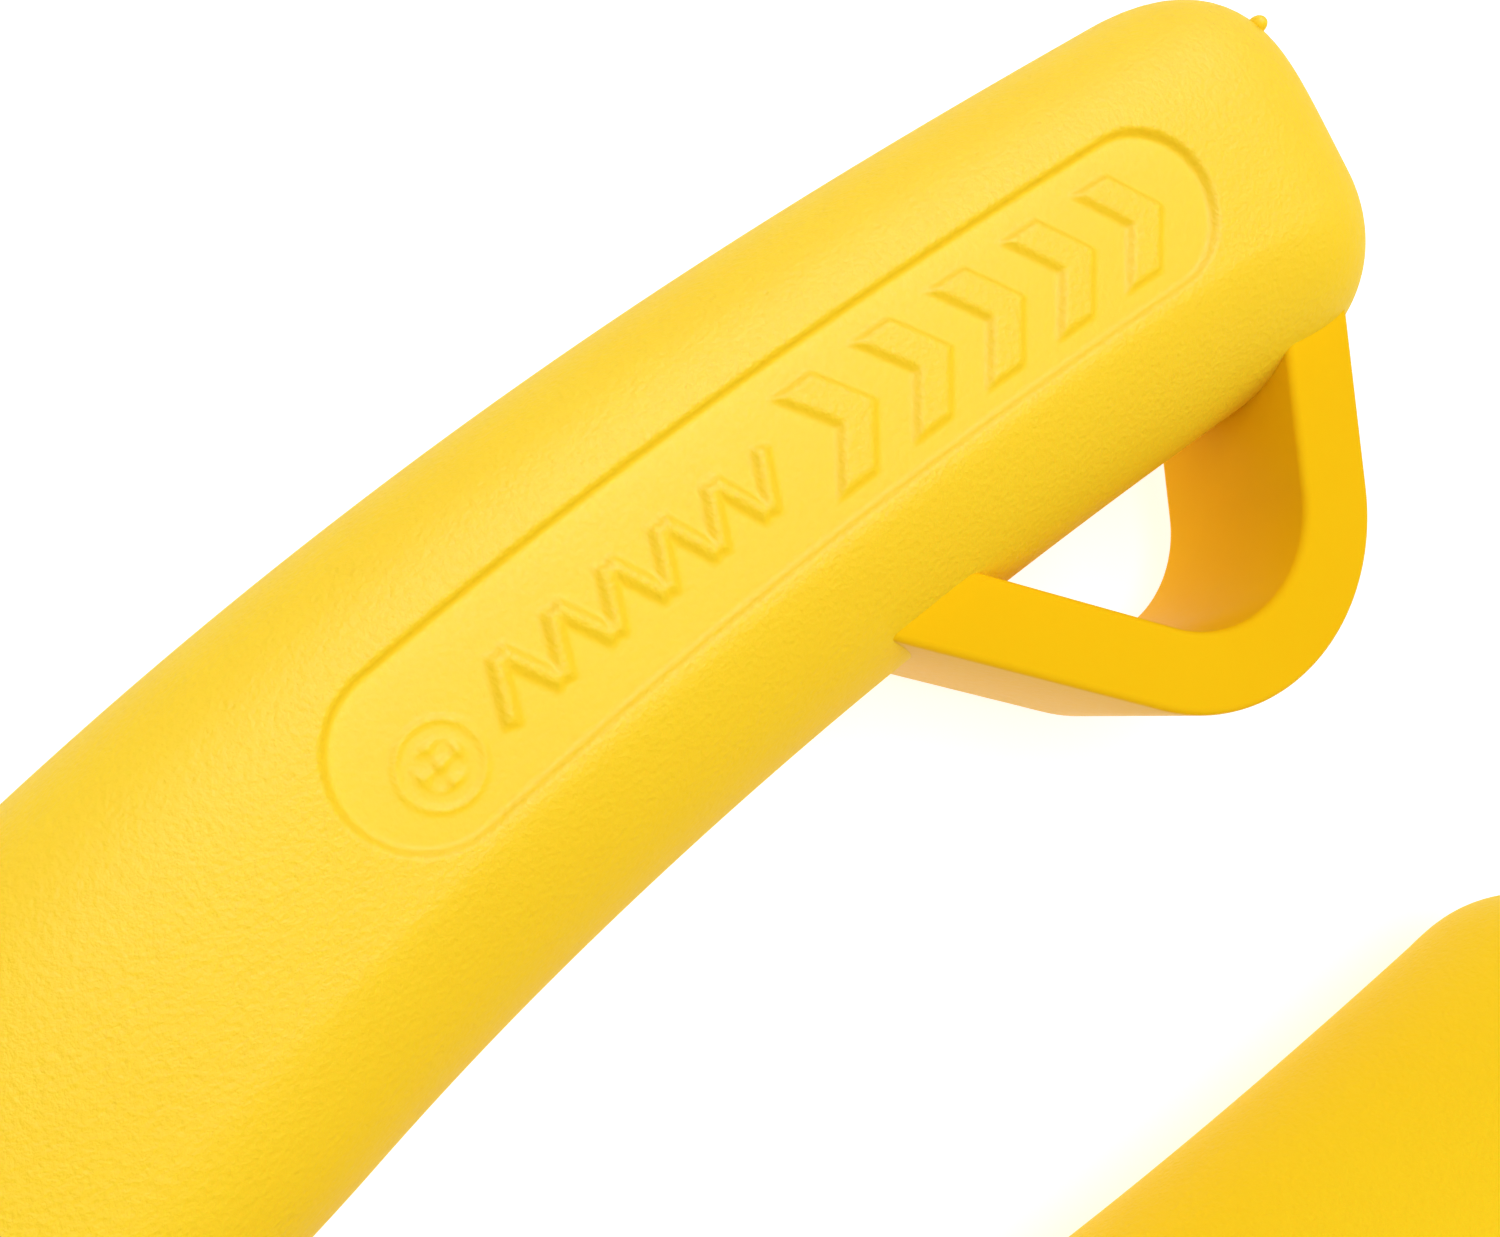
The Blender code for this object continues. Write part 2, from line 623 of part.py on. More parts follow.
def make_return_spring(mat):
    """Compression coil between the handles, close to the pivot, swept as a round wire."""
    steps = int(SPRING_TURNS * SPRING_STEPS_PER_TURN)
    start = -(SPRING_SEAT_Y - RUNNING_GAP) + SPRING_WIRE / 2
    path = []
    for k in range(steps + 1):
        turn = k / SPRING_STEPS_PER_TURN
        a = math.tau * turn
        path.append(Vector((SPRING_FROM_PIVOT + SPRING_MEAN_RADIUS * math.cos(a), start + spring_height(turn),
                            MID_Z + SPRING_MEAN_RADIUS * math.sin(a))))
    rings = []
    for k, point in enumerate(path):
        ahead = path[min(k + 1, steps)] - path[max(k - 1, 0)]
        tangent = ahead.normalized()
        outward = Vector((point.x - SPRING_FROM_PIVOT, 0.0, point.z - MID_Z)).normalized()
        across = tangent.cross(outward).normalized()
        rings.append([tuple(point + (outward * math.cos(b) + across * math.sin(b)) * (SPRING_WIRE / 2))
                      for b in (math.tau * j / WIRE_SIDES for j in range(WIRE_SIDES))])
    spring = loft("return_spring", rings, mat)
    shade_round(spring, 60.0)
    return spring


def make_spring_pin(name, side, mat):
    """Steel pin pressed into a handle; the coil sits round it."""
    stations = ((SPRING_PIN_TIP_Y, SPRING_PIN_RADIUS - SPRING_PIN_CHAMFER),
                (SPRING_PIN_TIP_Y + SPRING_PIN_CHAMFER, SPRING_PIN_RADIUS),
                (SPRING_PIN_ROOT_Y, SPRING_PIN_RADIUS))
    pin = cross_post(name, [(side * y, r) for y, r in stations], mat)
    shade_round(pin)
    return pin


# ---------------------------------------------------------------- assembly

def empty(name):
    """An empty on the pivot axis that carries one side of the snips."""
    holder = bpy.data.objects.new(name, None)
    holder.location = (PIVOT_X * MM, 0.0, 0.0)
    bpy.context.scene.collection.objects.link(holder)
    return holder


def carry(holder, pieces):
    for piece in pieces:
        piece.parent = holder


def main():
    clear_scene()
    mats = make_materials()
    under_blade = make_blade("blade_under", 1, UNDER_Z, mats["blade"])
    over_blade = make_blade("blade_over", -1, OVER_Z, mats["blade"])
    fixed = [
        make_handle("handle_with_eyelet", 1, UNDER_Z, mats["handle"], True),
        under_blade,
        make_screw(mats["pivot"]),
        make_washer(mats["pivot"]),
        make_spring_washer(mats["spring"]),
        make_nut(mats["pivot"]),
        make_friction_washer(mats["friction"]),
        make_stop_pin(under_blade, over_blade, mats["pivot"]),
        make_return_spring(mats["spring"]),
        make_spring_pin("spring_pin_upper", 1, mats["pivot"]),
    ]
    moving = [
        make_handle("handle_plain", -1, OVER_Z, mats["handle"], False),
        over_blade,
        make_spring_pin("spring_pin_lower", -1, mats["pivot"]),
    ]
    guides = [obj for obj in bpy.data.objects if obj.hide_render]
    carry(empty("fixed_side"), fixed + guides)
    carry(empty("pivot_axis"), moving)


main()
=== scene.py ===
"""Thread snips, dressed: moulded handles, ground blades, plated pivot and a wire spring.

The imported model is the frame. Lengths in this file are millimetres unless a comment says
otherwise, and MM turns them into Blender's metres. A handle has its own plan axes: u runs
along it from the middle of its panel to its free end, and v, or an offset from its bowed
centre line, runs outwards, away from the other handle.
"""

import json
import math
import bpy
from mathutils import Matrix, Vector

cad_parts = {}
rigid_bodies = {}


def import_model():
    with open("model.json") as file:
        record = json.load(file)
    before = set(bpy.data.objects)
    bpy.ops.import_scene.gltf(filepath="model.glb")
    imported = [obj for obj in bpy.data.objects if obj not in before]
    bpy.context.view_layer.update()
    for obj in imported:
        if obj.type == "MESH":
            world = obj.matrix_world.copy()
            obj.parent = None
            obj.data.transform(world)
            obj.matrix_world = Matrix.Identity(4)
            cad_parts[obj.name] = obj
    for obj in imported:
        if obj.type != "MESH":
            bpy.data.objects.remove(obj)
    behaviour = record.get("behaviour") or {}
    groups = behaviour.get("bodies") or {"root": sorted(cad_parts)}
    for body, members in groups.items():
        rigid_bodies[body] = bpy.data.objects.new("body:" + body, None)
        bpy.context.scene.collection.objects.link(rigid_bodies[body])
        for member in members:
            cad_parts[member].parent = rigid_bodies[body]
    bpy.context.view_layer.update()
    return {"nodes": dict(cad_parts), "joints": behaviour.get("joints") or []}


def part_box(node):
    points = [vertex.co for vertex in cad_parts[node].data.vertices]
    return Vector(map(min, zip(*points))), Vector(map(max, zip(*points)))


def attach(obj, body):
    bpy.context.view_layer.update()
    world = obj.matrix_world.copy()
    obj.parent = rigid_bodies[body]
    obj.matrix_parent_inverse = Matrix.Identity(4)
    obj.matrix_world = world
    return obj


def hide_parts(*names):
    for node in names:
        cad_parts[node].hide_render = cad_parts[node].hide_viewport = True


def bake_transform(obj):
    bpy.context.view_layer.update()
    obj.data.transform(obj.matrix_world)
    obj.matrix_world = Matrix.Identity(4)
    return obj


bl_info = {
    "name": "Thread snips",
    "version": (1, 0, 0),
    "blender": (4, 5, 0),
    "location": "View3D > Sidebar > Snips",
    "description": "Builds the visible pieces of sprung thread snips around their packed model",
    "category": "Add Mesh",
}

import bmesh
import bpy
import numpy as np
from bpy.props import FloatProperty, FloatVectorProperty, PointerProperty, StringProperty
from mathutils import Matrix, Vector

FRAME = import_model()
PIVOT = Vector(FRAME["joints"][0]["pos_m"])
FIXED, CLOSING = FRAME["joints"][0]["parent"], FRAME["joints"][0]["child"]

MM = 0.001
EYELET_HANDLE, EYELET_HANDLE_GATE = "eyelet_handle_moulding", "eyelet_handle_gate"
PLAIN_HANDLE, PLAIN_HANDLE_GATE = "plain_handle_moulding", "plain_handle_gate"
STEEL_ENDINGS = ("_ground", "_plated", "_coned", "_coil")

# Handle outline: a straight axis that spreads from the tool's middle line, and a bow on it.
# Where a value differs between the handles, it is keyed by the handle's side in Y
HANDLE_HALF_WIDTH = 8.0
HANDLE_HALF_DEPTH = 6.8
PANEL_FROM_PIVOT = 64.0
PANEL_FROM_AXIS = 19.5
HANDLE_SPREAD = math.radians(3.94)
BOW_SQUARE = -2.35e-3
BOW_CUBE = 2.67e-5
FRONT_U = -46.0
FRONT_HALF_WIDTH = 6.2
FRONT_HALF_DEPTH = 5.5
FRONT_ROUNDING = 3.0
FRONT_FACE_SCALE = 0.78
TAPER_START_U = -24.0
FREE_END_U = {1: 28.85, -1: 26.9}
FREE_END_ROUNDING = {1: 6.5, -1: 8.0}
FREE_END_OUTER_POWER = 2.4
FREE_END_INNER_POWER = {1: 2.8, -1: 2.1}
FREE_END_DEPTH_POWER = 2.3
CREASE_SHARE = 0.275

# Powers of the section's curves, and how far each comes down where it applies in full
FLAT_POWER, FLAT_POWER_DROP = 5.0, 2.4
EDGE_POWER, EDGE_POWER_DROP = 2.5, 0.5
INNER_POWER, INNER_POWER_DROP = 2.0, 0.72
ROUND_FROM_U, ROUND_LENGTH = -12.0, 26.0
CREASE_FRONT_U, CREASE_FRONT_LENGTH = -34.0, 18.0
CREASE_END_U, CREASE_END_LENGTH = 27.0, 9.0

# Mesh stations along the handle: where the zones end, and how many stations each has
POCKET_LAST_U = -33.0
PANEL_ZONE_U = -18.5
ROUNDING_STEPS = 9
POCKET_STEPS = 46
PLAIN_STEPS = 26
PANEL_STEPS = 350
END_STEPS = 62

# Mesh samples round the section: even up to this share of the way to the outer edge, then closer
EVEN_SHARE = 0.68
FINE_SAMPLES = 74
COARSE_SAMPLES = 14
EDGE_SAMPLES = 15
INNER_SAMPLES = 31

# Recessed panel, and the marks that stand in it
PANEL_FIRST_U = -14.4
PANEL_LAST_U = 16.6
PANEL_HALF_WIDTH = 3.06
PANEL_OFFSET = 1.17
PANEL_LEAN = 0.22
PANEL_WALL = 0.32
MARK_EDGE = 0.32
BUTTON_CENTRE = (-14.35, -0.55)
BUTTON_RIM_RADIUS = 1.32
BUTTON_RIM_HALF_WIDTH = 0.17
BUTTON_MIDDLE_RADIUS = 0.86
BUTTON_HOLE_RADIUS = 0.2
BUTTON_HOLE_SPACING = 0.336

# Depth of the grain on the panel's floor and on its marks, as shares of the handle's own
FLOOR_GRAIN = 0.35
MARK_GRAIN = 0.8

# Eyelet
EYELET_U = 13.9
EYELET_OFFSET = -9.47
EYELET_BORE_RADIUS = 4.83
EYELET_BAND = 3.11
EYELET_DEPTH = 8.7
EYELET_END_ARM = math.radians(59.7)
EYELET_FRONT_ARM = math.radians(131.0)
EYELET_ROOT = -2.5

# Return spring
SPRING_FROM_PIVOT = 27.0
SPRING_SEAT_Y = 6.8
SPRING_POCKET_RADIUS = 3.7
SPRING_MEAN_RADIUS = 2.7
SPRING_WIRE = 0.9
SPRING_TURNS = 5.5
SPRING_END_PITCH = 1.05
SPRING_SINK = 0.1
SPRING_STEPS_PER_TURN = 48
WIRE_SIDES = 16

# Places of the lights, in metres: the steel's from the pivot, the others from the panel's middle
KEY_PLACE = Vector((0.02, 0.15, 0.50))
FILL_PLACE = Vector((0.20, -0.42, 0.24))
HANDLE_SHEEN_PLACE = Vector((0.13, 0.23, 0.41))
STEEL_SHEEN_PLACE = Vector((-0.12, 0.30, 0.50))

# Half the floor's width, its gap under the tool, and the panel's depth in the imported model
FLOOR_HALF = 1500.0
FLOOR_GAP = 0.02
CAD_PANEL_DEPTH = 0.35


# ---------------------------------------------------------------- colour and shader nodes

def linear(hex_colour):
    """sRGB hex such as 'FAD52E' to linear RGBA."""
    channels = [int(hex_colour[i:i + 2], 16) / 255.0 for i in (0, 2, 4)]
    return (*(c / 12.92 if c <= 0.04045 else ((c + 0.055) / 1.055) ** 2.4 for c in channels), 1.0)


def add_node(tree, kind, settings=None, **inputs):
    """Adds one node; inputs are socket names, with a value or an output socket to link.

    A socket is named by its own name with underscores, or by i and its index, such as i6.
    """
    node = tree.nodes.new(kind)
    for key, value in (settings or {}).items():
        setattr(node, key, value)
    for key, value in inputs.items():
        by_index = key[0] == "i" and key[1:].isdigit()
        socket = node.inputs[int(key[1:]) if by_index else key.replace("_", " ")]
        if isinstance(value, bpy.types.NodeSocket):
            tree.links.new(value, socket)
        else:
            socket.default_value = value
    return node


def new_material(name):
    """An empty material with a Principled shader linked to its output."""
    mat = bpy.data.materials.new(name)
    mat.use_nodes = True
    tree = mat.node_tree
    tree.nodes.clear()
    shader = add_node(tree, "ShaderNodeBsdfPrincipled")
    add_node(tree, "ShaderNodeOutputMaterial", Surface=shader.outputs[0])
    return mat, tree, shader


def noise(tree, vector, size_mm, detail=2.0, roughness=0.5):
    """Noise whose cells are about size_mm across, on coordinates in metres."""
    node = add_node(tree, "ShaderNodeTexNoise", Vector=vector, Scale=1.0 / (size_mm * MM),
                    Detail=detail, Roughness=roughness)
    return node.outputs[0]


def yellow_plastic(name, light, dark, grain_mm, depth_mm, roughness, shine, grain_share=None):
    """Yellow polypropylene with a grain of its own; a little light passes under its skin.

    grain_share names a mesh attribute that says how deep the grain is from place to place.
    """
    mat, tree, shader = new_material(name)
    where = add_node(tree, "ShaderNodeTexCoord").outputs["Object"]
    tint = noise(tree, where, 9.0, 3.0)
    colour = add_node(tree, "ShaderNodeMix", {"data_type": "RGBA"}, i0=tint,
                      i6=linear(dark), i7=linear(light))
    grain = noise(tree, where, grain_mm, 3.0, 0.6)
    cells = add_node(tree, "ShaderNodeTexVoronoi", {"feature": "SMOOTH_F1"}, Vector=where,
                     Scale=1.0 / (grain_mm * 1.6 * MM), Smoothness=0.8)
    height = add_node(tree, "ShaderNodeMath", {"operation": "MULTIPLY_ADD"},
                      i0=cells.outputs["Distance"], i1=0.6, i2=grain)
    strength = 0.6
    bump = add_node(tree, "ShaderNodeBump", Strength=strength, Distance=depth_mm * MM,
                    Height=height.outputs[0])
    if grain_share:
        share = add_node(tree, "ShaderNodeAttribute", {"attribute_name": grain_share})
        deeper = add_node(tree, "ShaderNodeMath", {"operation": "MULTIPLY"},
                          i0=share.outputs["Fac"], i1=strength)
        tree.links.new(deeper.outputs[0], bump.inputs["Strength"])
    rough = add_node(tree, "ShaderNodeMapRange", i0=grain, i1=0.3, i2=0.7,
                     i3=roughness * 0.9, i4=roughness * 1.1)
    tree.links.new(colour.outputs[2], shader.inputs["Base Color"])
    tree.links.new(bump.outputs[0], shader.inputs["Normal"])
    tree.links.new(rough.outputs[0], shader.inputs["Roughness"])
    shader.inputs["IOR"].default_value = 1.49
    shader.inputs["Specular IOR Level"].default_value = shine
    shader.inputs["Subsurface Weight"].default_value = 0.12
    shader.inputs["Subsurface Radius"].default_value = (1.0, 0.45, 0.08)
    shader.inputs["Subsurface Scale"].default_value = 0.9 * MM
    return mat


def grained_polypropylene(props):
    """Polypropylene from a spark-eroded mould: satin, with an even grain that softens highlights.

    The grain is drawn a little coarser than such a mould leaves it, so that it shows.
    """
    return yellow_plastic("grained_polypropylene", props.plastic_light, props.plastic_dark,
                          props.grain_mm, depth_mm=0.07, roughness=0.6, shine=0.16, grain_share="grain")


def smooth_polypropylene(props):
    """The same plastic off a polished face of the mould: smoother, and painted a deeper yellow as
    painted shade, for the shade that the handle casts on the eyelet.
    """
    return yellow_plastic("smooth_polypropylene", props.smooth_light, props.smooth_dark,
                          2.0 * props.grain_mm, depth_mm=0.01, roughness=0.32, shine=0.03)


def steel(name, colour, roughness, line_mm, stretch, depth_mm, blotch_mm):
    """A steel with fine lines; a low share in stretch draws them out along that axis."""
    mat, tree, shader = new_material(name)
    where = add_node(tree, "ShaderNodeTexCoord").outputs["Object"]
    lines_at = add_node(tree, "ShaderNodeMapping", Vector=where, Scale=stretch).outputs[0]
    lines = noise(tree, lines_at, line_mm, 2.0)
    blotch = noise(tree, where, blotch_mm, 3.0)
    rough = add_node(tree, "ShaderNodeMapRange", i0=lines, i1=0.3, i2=0.7,
                     i3=roughness * 0.8, i4=roughness * 1.25)
    dull = add_node(tree, "ShaderNodeMath", {"operation": "MULTIPLY_ADD"},
                    i0=blotch, i1=0.10, i2=rough.outputs[0])
    tone = add_node(tree, "ShaderNodeMix", {"data_type": "RGBA"},
                    i0=blotch, i6=linear(colour[0]), i7=linear(colour[1]))
    bump = add_node(tree, "ShaderNodeBump", Strength=0.25, Distance=depth_mm * MM, Height=lines)
    tree.links.new(tone.outputs[2], shader.inputs["Base Color"])
    tree.links.new(dull.outputs[0], shader.inputs["Roughness"])
    tree.links.new(bump.outputs[0], shader.inputs["Normal"])
    shader.inputs["Metallic"].default_value = 1.0
    return mat


def ground_stainless():
    """Martensitic stainless, ground lengthwise: satin, with fine long lines, drawn coarse to show."""
    return steel("ground_stainless", ("A9ABAD", "C2C3C3"), 0.26, 0.08, (0.02, 1.0, 1.0), 0.002, 6.0)


def nickel_plated_steel():
    """Turned steel with bright nickel: warm white, almost mirror-smooth, faint tool marks."""
    return steel("nickel_plated_steel", ("C9C2B6", "DAD4C8"), 0.14, 0.12, (1.0, 1.0, 1.0), 0.002, 3.0)


def drawn_spring_wire():
    """Patented spring wire with a thin zinc coat: darker and a little uneven in gloss."""
    return steel("drawn_spring_wire", ("8E9093", "A6A8AA"), 0.28, 0.15, (1.0, 0.2, 1.0), 0.003, 2.0)


def acetal():
    """Turned acetal washer: off-white, waxy, softly glossy."""
    mat, tree, shader = new_material("acetal")
    where = add_node(tree, "ShaderNodeTexCoord").outputs["Object"]
    tone = add_node(tree, "ShaderNodeMix", {"data_type": "RGBA"}, i0=noise(tree, where, 1.5, 2.0),
                    i6=linear("E4E1D8"), i7=linear("EFEDE6"))
    tree.links.new(tone.outputs[2], shader.inputs["Base Color"])
    shader.inputs["Roughness"].default_value = 0.38
    shader.inputs["IOR"].default_value = 1.48
    return mat


def opal_acrylic(colour, glow):
    """Backlit opal acrylic, matt: an even white that also lifts the undersides of what lies on it."""
    mat, tree, shader = new_material("opal_acrylic")
    where = add_node(tree, "ShaderNodeTexCoord").outputs["Object"]
    tooth = noise(tree, where, 0.6, 2.0)
    bump = add_node(tree, "ShaderNodeBump", Strength=0.05, Distance=0.02 * MM, Height=tooth)
    tree.links.new(bump.outputs[0], shader.inputs["Normal"])
    shader.inputs["Base Color"].default_value = (*colour, 1.0)
    shader.inputs["Roughness"].default_value = 0.9
    shader.inputs["Specular IOR Level"].default_value = 0.2
    shader.inputs["Emission Color"].default_value = (1.0, 1.0, 1.0, 1.0)
    shader.inputs["Emission Strength"].default_value = glow
    return mat


# ---------------------------------------------------------------- surfaces

def smooth_step(t):
    """Three t squared less two t cubed, level at 0 and 1 and held there outside them."""
    t = np.clip(t, 0.0, 1.0)
    return t * t * (3.0 - 2.0 * t)


def signed_volume(points, triangles):
    """Six times the enclosed volume, above zero where the faces point outwards."""
    a, b, c = (points[triangles[:, k]] for k in range(3))
    return np.einsum("ij,ij->i", a, np.cross(b, c)).sum()


def skin(name, rings, first_pole, last_pole, mat):
    """A closed surface over an array of rings, (rings, points, 3) in millimetres.

    Neighbouring rings are joined by quads, the last point of a ring joins its first, and each
    end closes in a fan of triangles on its pole. Faces are turned outwards by the sign of the
    volume that they enclose.
    """
    count, around = rings.shape[:2]
    points = np.vstack([rings.reshape(-1, 3), first_pole, last_pole])
    ring_at = np.arange(count - 1)[:, None] * around
    k = np.arange(around)
    k_next = (k + 1) % around
    quads = np.stack([ring_at + k, ring_at + k_next, ring_at + around + k_next, ring_at + around + k],
                     axis=-1).reshape(-1, 4)
    pole, last_ring = count * around, (count - 1) * around
    fans = np.vstack([np.column_stack([k_next, k, np.full(around, pole)]),
                      np.column_stack([last_ring + k, last_ring + k_next, np.full(around, pole + 1)])])
    triangles = np.vstack([quads[:, [0, 1, 2]], quads[:, [0, 2, 3]], fans])
    if signed_volume(points, triangles) < 0.0:
        quads, fans = quads[:, ::-1], fans[:, ::-1]
    return surface(name, points, quads.tolist() + fans.tolist(), mat)


def surface(name, points, faces, mat):
    """A smooth-shaded mesh object from points in millimetres."""
    mesh = bpy.data.meshes.new(name)
    mesh.from_pydata((points * MM).tolist(), [], faces)
    mesh.materials.append(mat)
    mesh.shade_smooth()
    obj = bpy.data.objects.new(name, mesh)
    bpy.context.scene.collection.objects.link(obj)
    return obj


def fitted(obj, body, slot, *nodes):
    """The piece rides on a body and stands for its CAD nodes, which it hides; the slot is not used."""
    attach(obj, body)
    if nodes:
        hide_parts(*nodes)
    return obj


# ---------------------------------------------------------------- handle

def bow(u):
    """Offset of the bowed centre line, a square and a cube term of u, and its slope."""
    return BOW_SQUARE * u ** 2 + BOW_CUBE * u ** 3, 2 * BOW_SQUARE * u + 3 * BOW_CUBE * u ** 2


def to_tool(u, v, side):
    """The handle's plan axes to X and Y: turned by the spread, moved out, and mirrored by side."""
    c, s = math.cos(HANDLE_SPREAD), math.sin(HANDLE_SPREAD)
    x = PIVOT.x / MM + PANEL_FROM_PIVOT + u * c - v * s
    return x, side * (PANEL_FROM_AXIS + u * s + v * c)


def beside(u, offset, side):
    """The point of the bowed centre line at u, moved outwards by the offset along its normal."""
    v, slope = bow(u)
    length = np.hypot(1.0, slope)
    return to_tool(u - slope / length * offset, v + offset / length, side)


def handle_stations(side):
    """Places along the handle: fine where the spring pocket and the panel are, coarse between.

    At both ends they crowd together as the cosine and the sine of even angles do.
    """
    end_from = FREE_END_U[side] - FREE_END_ROUNDING[side]
    turn = np.linspace(0.0, math.pi / 2, ROUNDING_STEPS)
    rounding = FRONT_U + FRONT_ROUNDING * (1.0 - np.cos(turn))
    pocket = np.linspace(FRONT_U + FRONT_ROUNDING, POCKET_LAST_U, POCKET_STEPS)[1:]
    plain = np.linspace(POCKET_LAST_U, PANEL_ZONE_U, PLAIN_STEPS)[1:]
    panel = np.linspace(PANEL_ZONE_U, end_from, PANEL_STEPS)[1:]
    end = end_from + FREE_END_ROUNDING[side] * np.sin(np.linspace(0.0, math.pi / 2, END_STEPS)[1:-1])
    return np.concatenate([rounding, pocket, plain, panel, end])


def end_scales(u, side):
    """How the blunt free end and the front shoulder draw the section in, as shares of it.

    Free end: (1 - t^p)^(1/p) with t the share of the rounding that is passed; a higher p makes
    a tighter corner. Front: a quarter circle down to the front face.
    """
    t = np.clip((u - FREE_END_U[side]) / FREE_END_ROUNDING[side] + 1.0, 0.0, 1.0)
    outer, inner, depth = ((1.0 - t ** p) ** (1 / p) for p in (
        FREE_END_OUTER_POWER, FREE_END_INNER_POWER[side], FREE_END_DEPTH_POWER))
    f = np.clip((u - FRONT_U) / FRONT_ROUNDING, 0.0, 1.0)
    front = FRONT_FACE_SCALE + (1.0 - FRONT_FACE_SCALE) * np.sqrt(1.0 - (1.0 - f) ** 2)
    return outer * front, inner * front, depth * front


def section_samples():
    """Where the section is sampled: shares along its four arcs, finest across the panel.

    Each arc runs between the crease line and the widest point of one side. The outer arcs are
    measured by their share of the width, the inner ones by an angle's sine. Two masks say
    which samples lie on the outer side and which on the panel's face.
    """
    fine = np.linspace(0.0, EVEN_SHARE, FINE_SAMPLES)
    edge = 1.0 - (1.0 - EVEN_SHARE) * (1.0 - np.linspace(0.0, 1.0, EDGE_SAMPLES)[1:]) ** 2
    coarse = np.linspace(0.0, EVEN_SHARE, COARSE_SAMPLES)
    inner = np.sin(np.linspace(0.0, math.pi / 2, INNER_SAMPLES))
    top_outer = np.concatenate([fine, edge])[::-1]
    bottom_outer = np.concatenate([coarse, edge])
    share = np.concatenate([top_outer, inner[1:], inner[::-1][1:], bottom_outer[1:-1]])
    outer = np.repeat([True, False, True], [len(top_outer), 2 * len(inner) - 2, len(bottom_outer) - 2])
    top_count = len(top_outer) + len(inner) - 1
    top = np.repeat([True, False], [top_count, len(share) - top_count])
    return share, outer, top


def handle_section(u, share, outer, top, side):
    """Offset and height over the middle plane, for all stations and all section samples.

    Outer side: height = depth (1 - q^a)^(1/b) with q the share of the way from the crease to
    the outer edge, flat at first and then rounding over. Inner side: depth (1 - q^c)^(1/2),
    where c under 2 leaves a crease along the line where both sides meet. Towards the front the
    powers come down to 2 or a little over, which makes the section an oval.
    """
    taper = smooth_step((TAPER_START_U - u) / (TAPER_START_U - FRONT_U))[:, None]
    half_width = HANDLE_HALF_WIDTH + (FRONT_HALF_WIDTH - HANDLE_HALF_WIDTH) * taper
    half_depth = HANDLE_HALF_DEPTH + (FRONT_HALF_DEPTH - HANDLE_HALF_DEPTH) * taper
    outer_scale, inner_scale, depth_scale = (s[:, None] for s in end_scales(u, side))
    roundness = smooth_step((ROUND_FROM_U - u) / ROUND_LENGTH)[:, None]
    crease_front = smooth_step((u - CREASE_FRONT_U) / CREASE_FRONT_LENGTH)
    crease = (crease_front * smooth_step((CREASE_END_U - u) / CREASE_END_LENGTH))[:, None]
    q = share[None, :]
    flat_power = FLAT_POWER - FLAT_POWER_DROP * roundness
    edge_power = EDGE_POWER - EDGE_POWER_DROP * roundness
    inner_power = INNER_POWER - INNER_POWER_DROP * crease
    height_outer = np.maximum(1.0 - q ** flat_power, 0.0) ** (1.0 / edge_power)
    height_inner = np.sqrt(np.maximum(1.0 - q ** inner_power, 0.0))
    is_outer = outer[None, :]
    height = np.where(is_outer, height_outer, height_inner) * half_depth * depth_scale
    start = -CREASE_SHARE * half_width
    offset_outer = (start + q * (half_width - start)) * outer_scale
    offset_outer = np.where(offset_outer < 0.0, offset_outer / outer_scale * inner_scale, offset_outer)
    offset_inner = (start - q * (half_width + start)) * inner_scale
    offset = np.where(is_outer, offset_outer, offset_inner)
    return offset, np.where(top[None, :], height, -height)


def stroke(u, v, start, end, half_width, rounding=0.15):
    """Distance outside a straight bar between two points of the panel; below zero inside it.

    It is the distance to a rectangle about the bar's line, with its corners rounded.
    """
    (u0, v0), (u1, v1) = start, end
    length = math.hypot(u1 - u0, v1 - v0)
    cu, cv = (u1 - u0) / length, (v1 - v0) / length
    from_u, from_v = u - (u0 + u1) / 2, v - (v0 + v1) / 2
    along, across = from_u * cu + from_v * cv, from_v * cu - from_u * cv
    a, b = np.abs(along) - length / 2 + rounding, np.abs(across) - half_width + rounding
    outside = np.hypot(np.maximum(a, 0.0), np.maximum(b, 0.0))
    return outside + np.minimum(np.maximum(a, b), 0.0) - rounding


def button_mark(u, v):
    """A sewing button: a raised ring, and inside it a raised disc with four round holes."""
    u, v = u - BUTTON_CENTRE[0], v - BUTTON_CENTRE[1]
    r = np.hypot(u, v)
    ring = np.abs(r - BUTTON_RIM_RADIUS) - BUTTON_RIM_HALF_WIDTH
    distance = np.minimum(ring, r - BUTTON_MIDDLE_RADIUS)
    nearest_hole = np.hypot(np.abs(u) - BUTTON_HOLE_SPACING, np.abs(v) - BUTTON_HOLE_SPACING)
    return np.maximum(distance, BUTTON_HOLE_RADIUS - nearest_hole)


def zigzag_mark(u, v):
    """A row of zigzag stitches: bars that lean one way and the other in turn, joined at their ends."""
    stitches, first, pitch, low, high, half_width = 11, -12.1, 1.06, -1.2, 0.95, 0.4
    distance = np.full(np.broadcast(u, v).shape, np.inf)
    for k in range(stitches):
        ends = (low, high) if k % 2 == 0 else (high, low)
        start, end = (first + k * pitch, ends[0]), (first + (k + 1) * pitch, ends[1])
        distance = np.minimum(distance, stroke(u, v, start, end, half_width))
    return distance


def chevron_mark(u, v):
    """Bold chevrons that point to the free end: slanted bands, cut off square at their reach."""
    chevrons, first, pitch = 5, 3.0, 3.4
    reach, lean, half_width, middle = 2.05, 1.5, 0.78, -0.1
    across = np.abs(v - middle)
    square_on = reach / math.hypot(reach, lean)
    distance = np.full(np.broadcast(u, v).shape, np.inf)
    for k in range(chevrons):
        band = np.abs(u - first - k * pitch + across * lean / reach) * square_on - half_width
        distance = np.minimum(distance, np.maximum(band, across - reach))
    return distance


